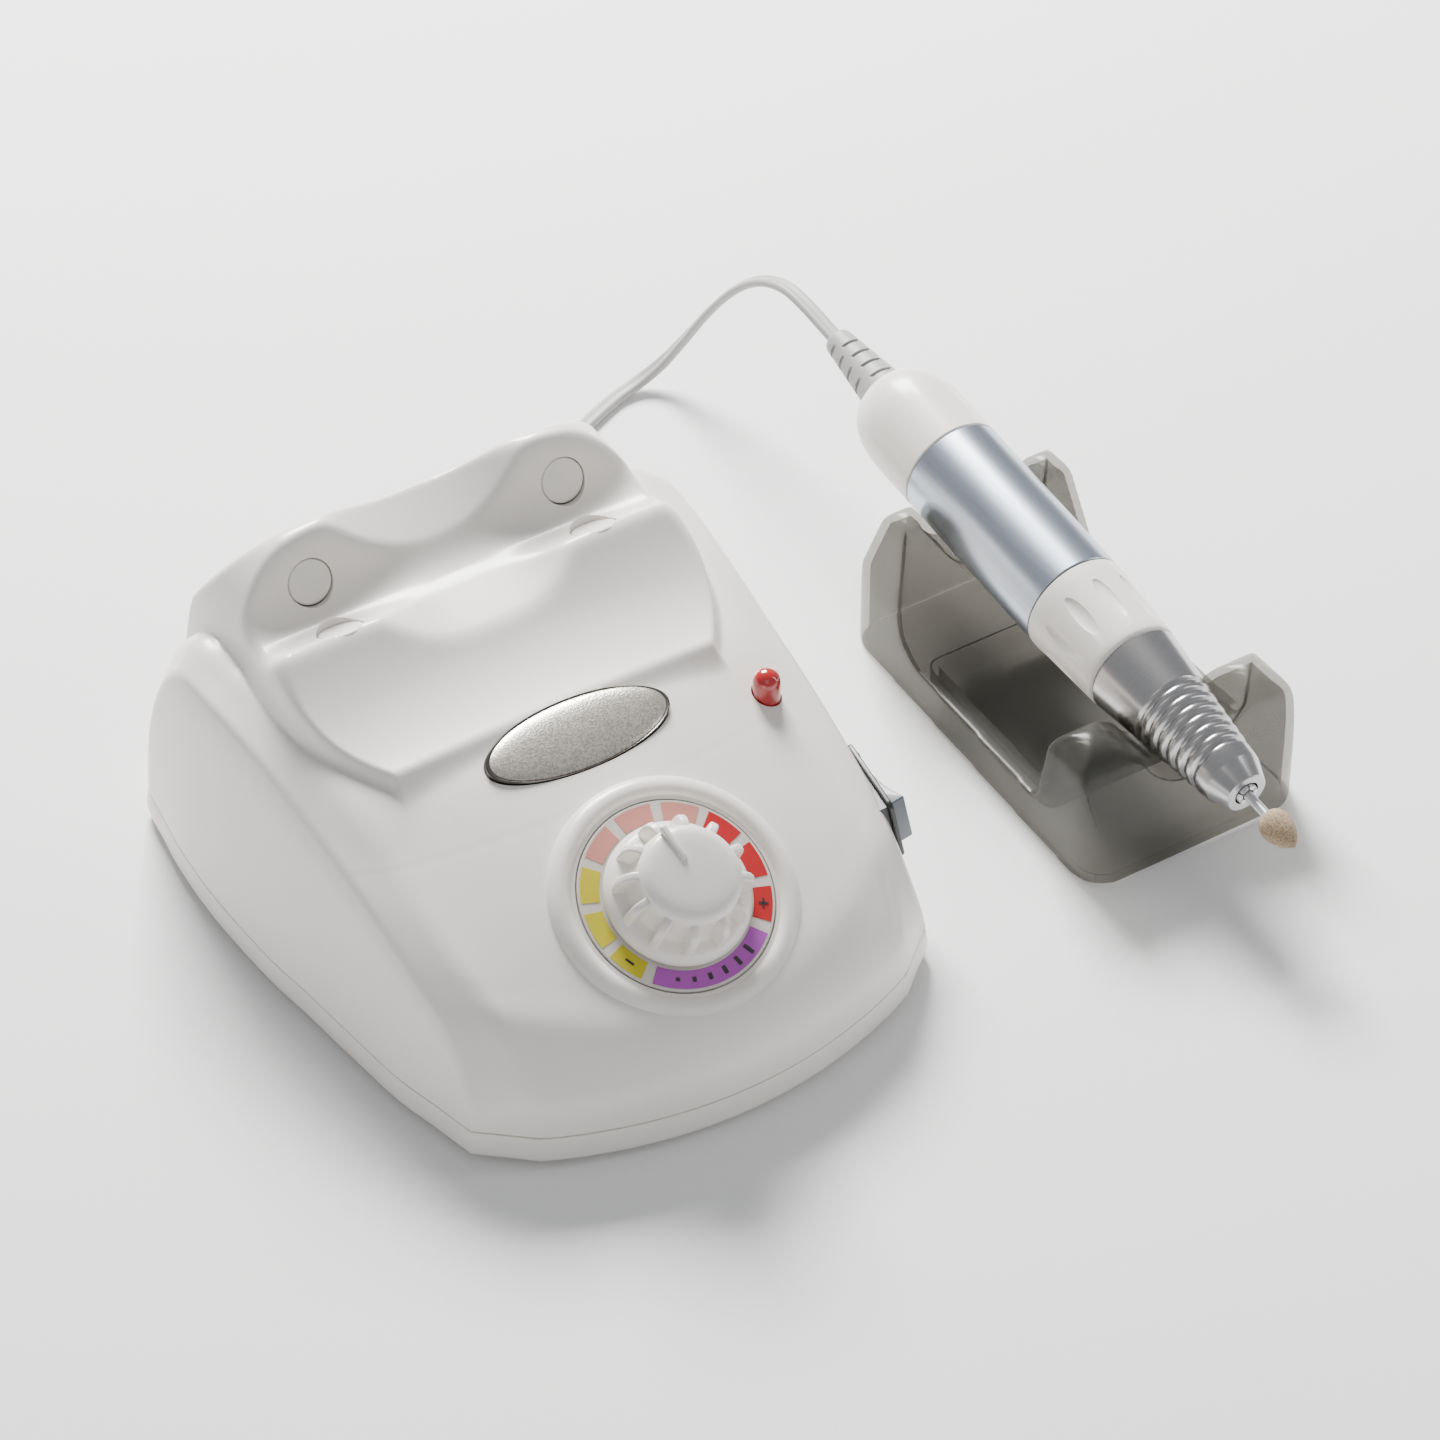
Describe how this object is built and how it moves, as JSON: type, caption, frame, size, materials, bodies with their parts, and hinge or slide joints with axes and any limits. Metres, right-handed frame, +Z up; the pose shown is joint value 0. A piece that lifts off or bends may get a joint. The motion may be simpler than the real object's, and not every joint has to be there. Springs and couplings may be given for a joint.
{
  "type": "electric nail drill",
  "caption": "Desktop nail drill: white control box with a speed dial and handpiece cradle, a smoky stand beside it, and a corded motor handpiece with an abrasive bit.",
  "frame": {"origin": "middle of the underside of the bounding box, cord left out, on the table", "axes": "+X to the user's right, +Y away from the user, +Z up; the speed dial faces the user at -Y"},
  "size_m": [0.2302, 0.242, 0.0812],
  "materials": {
    "white_shell": "satin warm white ABS",
    "soft_pad": "soft pale pad",
    "black_plastic": "satin black moulding",
    "grey_plastic": "satin blue-grey moulding",
    "red_lens": "glossy tinted lens",
    "badge_metal": "domed champagne glitter",
    "dial_plate": "printed colour scale",
    "rubber_feet": "matt rubber",
    "smoky_stand": "smoky translucent moulding",
    "steel": "satin",
    "brushed_metal": "satin brushed",
    "brass": "satin",
    "copper": "wound and turned copper",
    "board": "lacquered board",
    "aluminium": "extruded",
    "grey_cord": "matt grey sheath",
    "stone": "grainy abrasive"
  },
  "bodies": {
    "frame": {"top_shell": "white_shell", "bottom_shell": "white_shell", "rear_cap": "white_shell", "badge": "badge_metal", "power_lamp": "red_lens", "dial_plate": "dial_plate", "handpiece_stand": "smoky_stand", "barrel": "brushed_metal", "nose_cone": "brushed_metal", "speed_control": "grey_plastic", "ring_magnet": "grey_plastic", "brush_left": "grey_plastic", "brush_right": "grey_plastic", "direction_switch_bezel": "black_plastic", "mode_switch_bezel": "black_plastic", "handpiece_socket": "black_plastic", "pedal_socket": "black_plastic", "mains_inlet": "black_plastic", "smoothing_capacitor": "black_plastic", "handpiece_plug": "black_plastic", "transformer_core": "steel", "control_nut": "steel", "motor_can": "steel", "rear_bearing": "steel", "front_bearing": "steel", "transformer_winding": "copper", "circuit_board": "board", "heat_sink": "aluminium", "strain_relief": "grey_cord", "cord_lead": "grey_cord", "cord_tail": "grey_cord", "cord_coil": "grey_cord", "foot_front_left": "rubber_feet", "case_screw_front_left": "steel", "foot_front_right": "rubber_feet", "case_screw_front_right": "steel", "foot_rear_left": "rubber_feet", "case_screw_rear_left": "steel", "foot_rear_right": "rubber_feet", "case_screw_rear_right": "steel", "cradle_pad_back_left": "soft_pad", "cradle_pad_back_right": "soft_pad", "cradle_pad_front_left": "soft_pad", "cradle_pad_front_right": "soft_pad"},
    "dial_knob": {"speed_knob": "white_shell", "control_shaft": "steel"},
    "side_rocker": {"direction_rocker": "grey_plastic"},
    "back_rocker": {"mode_rocker": "black_plastic"},
    "twist_ring": {"lock_ring": "white_shell"},
    "chuck_release": {"release_sleeve": "brass"},
    "drive": {"motor_shaft": "steel", "armature": "copper", "commutator": "copper", "drive_coupling": "brass", "spindle": "steel", "collet": "steel", "bit_shank": "steel", "bit_head": "stone"}
  },
  "joints": [
    {"name": "speed_knob_turn", "type": "hinge", "parent": "frame", "child": "dial_knob", "pos_m": [-0.0447, -0.04085, 0.0403], "axis": [0, -0.4787, 0.878], "range_deg": [-142, 128]},
    {"name": "direction_rocker_tilt", "type": "hinge", "parent": "frame", "child": "side_rocker", "pos_m": [0.01617, -0.02525, 0.025], "axis": [-0.194, 0.0281, 0.9806], "range_deg": [-18, 0]},
    {"name": "mode_rocker_tilt", "type": "hinge", "parent": "frame", "child": "back_rocker", "pos_m": [-0.0567, 0.08485, 0.031], "axis": [1, 0, 0], "range_deg": [-8, 8]},
    {"name": "lock_ring_twist", "type": "hinge", "parent": "frame", "child": "twist_ring", "pos_m": [0.0854, 0.04595, 0.04], "axis": [0, -0.9956, -0.0941], "range_deg": [0, 30]},
    {"name": "release_slide", "type": "slide", "parent": "frame", "child": "chuck_release", "axis": [0, -0.9956, -0.0941], "range_m": [0, 0.001]},
    {"name": "spindle_spin", "type": "hinge", "parent": "frame", "child": "drive", "pos_m": [0.0854, 0.04595, 0.04], "axis": [0, -0.9956, -0.0941], "continuous": true}
  ],
  "couplings": [
    {"joint": "release_slide", "follows": "lock_ring_twist", "m_per_rad": 0.0019}
  ]
}
